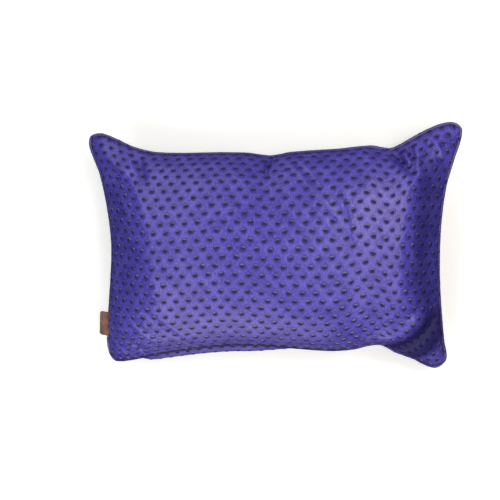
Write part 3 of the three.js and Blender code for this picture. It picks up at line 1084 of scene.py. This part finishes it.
def leather_material():
    """Vegetable-tanned leather, cut and left bare: matt brown, with a fine pebbled grain and soft
    stains."""
    material, tree, shader = new_material("tanned_leather")
    place = add_node(tree, "TexCoord").outputs["Object"]
    # The grain is about 0.9 mm, coarser than the real 0.4 mm, so that it shows.
    pebbles = {"Scale": 1 / (0.9 * MM)}
    grain = add_node(tree, "TexVoronoi", pebbles, {"Vector": place}).outputs["Distance"]
    blots = {"Scale": 1 / (9 * MM), "Detail": 4.0}
    stains = add_node(tree, "TexNoise", blots, {"Vector": place}).outputs[0]
    sum_up = {"operation": "MULTIPLY_ADD", 1: -0.25}
    tone = add_node(tree, "Math", sum_up, {0: grain, 2: stains}).outputs[0]
    tones = add_node(tree, "ValToRGB", {}, {0: tone})
    low, high = tones.color_ramp.elements
    low.position, low.color = 0.2, linear(LEATHER_DARK)
    high.position, high.color = 0.62, linear(LEATHER_LIGHT)
    tree.links.new(tones.outputs[0], shader.inputs["Base Color"])
    bump = add_node(tree, "Bump", {"Strength": 0.5, "Distance": 0.25 * MM}, {"Height": tone})
    tree.links.new(bump.outputs[0], shader.inputs["Normal"])
    shader.inputs["Roughness"].default_value = LEATHER_ROUGH
    shader.inputs["Specular IOR Level"].default_value = LEATHER_SPECULAR
    return material


def add_camera():
    """The camera, with its upper side towards the top of the cushion's face."""
    data = bpy.data.cameras.new("camera")
    data.lens = CAMERA_LENS
    camera = bpy.data.objects.new("camera", data)
    forward = (CAMERA_TARGET - CAMERA_PLACE).normalized()
    right = forward.cross(Vector((0, 1, 0))).normalized()
    axes = Matrix((right, right.cross(forward), -forward)).transposed()
    turned = axes @ Matrix.Rotation(CAMERA_ROLL, 3, "Z")
    camera.matrix_world = Matrix.Translation(CAMERA_PLACE) @ turned.to_4x4()
    bpy.context.scene.collection.objects.link(camera)
    bpy.context.scene.camera = camera


def add_floor():
    """A plain pale floor, which glows a little so that it comes out white."""
    bm = bmesh.new()
    bmesh.ops.create_grid(bm, x_segments=1, y_segments=1, size=FLOOR_REACH)
    floor = add_object("floor", bm)
    material, _, shader = new_material("pale_floor")
    shader.inputs["Base Color"].default_value = linear(FLOOR_COLOUR)
    shader.inputs["Roughness"].default_value = 0.9
    shader.inputs["Specular IOR Level"].default_value = 0.1
    shader.inputs["Emission Color"].default_value = linear(FLOOR_COLOUR)
    shader.inputs["Emission Strength"].default_value = FLOOR_GLOW
    floor.data.materials.append(material)
    # The floor is only a backdrop: its white isn't thrown back onto the sides of the cushion.
    floor.visible_diffuse = False
    floor.visible_glossy = False


def add_backdrop():
    """A pale dome far round the cushion, which only the camera sees."""
    bm = bmesh.new()
    bmesh.ops.create_icosphere(bm, subdivisions=4, radius=BACKDROP_RADIUS)
    bmesh.ops.reverse_faces(bm, faces=bm.faces)
    backdrop = add_object("backdrop", bm)
    material, _, shader = new_material("pale_backdrop")
    shader.inputs["Base Color"].default_value = linear("#000000")
    shader.inputs["Specular IOR Level"].default_value = 0.0
    shader.inputs["Emission Color"].default_value = linear(BACKDROP_COLOUR)
    shader.inputs["Emission Strength"].default_value = 1.0
    backdrop.data.materials.append(material)
    backdrop.visible_diffuse = False
    backdrop.visible_glossy = False
    backdrop.visible_shadow = False


def add_light(name, bearing, height, distance, size, watts, colour):
    """A soft box that faces the cushion: bearing from +X towards +Y and height in degrees."""
    bearing, height = math.radians(bearing), math.radians(height)
    level = math.cos(height)
    aim = Vector((math.cos(bearing) * level, math.sin(bearing) * level, math.sin(height)))
    data = bpy.data.lights.new(name, "AREA")
    data.shape = "RECTANGLE"
    data.size, data.size_y = size
    data.energy = watts
    data.color = linear(colour)[:3]
    light = bpy.data.objects.new(name, data)
    turned = aim.to_track_quat("Z", "Y").to_matrix().to_4x4()
    light.matrix_world = Matrix.Translation(LIGHT_AIM + aim * distance) @ turned
    bpy.context.scene.collection.objects.link(light)


def add_studio():
    """The soft boxes, and a faint even light from all round."""
    for light in LIGHTS:
        add_light(*light)
    world = bpy.data.worlds.new("studio")
    bpy.context.scene.world = world
    world.use_nodes = True
    background = world.node_tree.nodes["Background"]
    background.inputs["Color"].default_value = linear("#FFFFFF")
    background.inputs["Strength"].default_value = WORLD_STRENGTH


cushion = add_object("cushion_cover", sewn_cover())
inflate(cushion)
lay_down(cushion)
refine(cushion)
press_folds(cushion)
fabric = Fabric(cushion)
front_knots = embroider("front_knots", fabric, 1)
back_knots = embroider("back_knots", fabric, -1)
piping = add_object("piping_cord", piping_tube())
cord_knots = add_object("piping_knots", piping_knots())
tab = add_object("leather_tab", leather_tab())

# Each piece gets its finish, and the CAD nodes that the pieces stand for are hidden.
panel_satin = satin_material("woven_satin", SATIN_DARK, SATIN_LIGHT, True)
cord_satin = satin_material("woven_satin_bias", CORD_DARK, CORD_LIGHT, False)
thread = thread_material()
leather = leather_material()
for piece, material in (
    (cushion, panel_satin), (front_knots, thread), (back_knots, thread), (piping, cord_satin),
    (cord_knots, thread), (tab, leather),
):
    piece.data.materials.clear()
    piece.data.materials.append(material)
    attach(piece, "root")
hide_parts("cushion")
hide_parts("piping")
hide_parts("label_tab")

add_camera()
add_floor()
add_backdrop()
add_studio()
bpy.context.scene.view_settings.view_transform = "Standard"
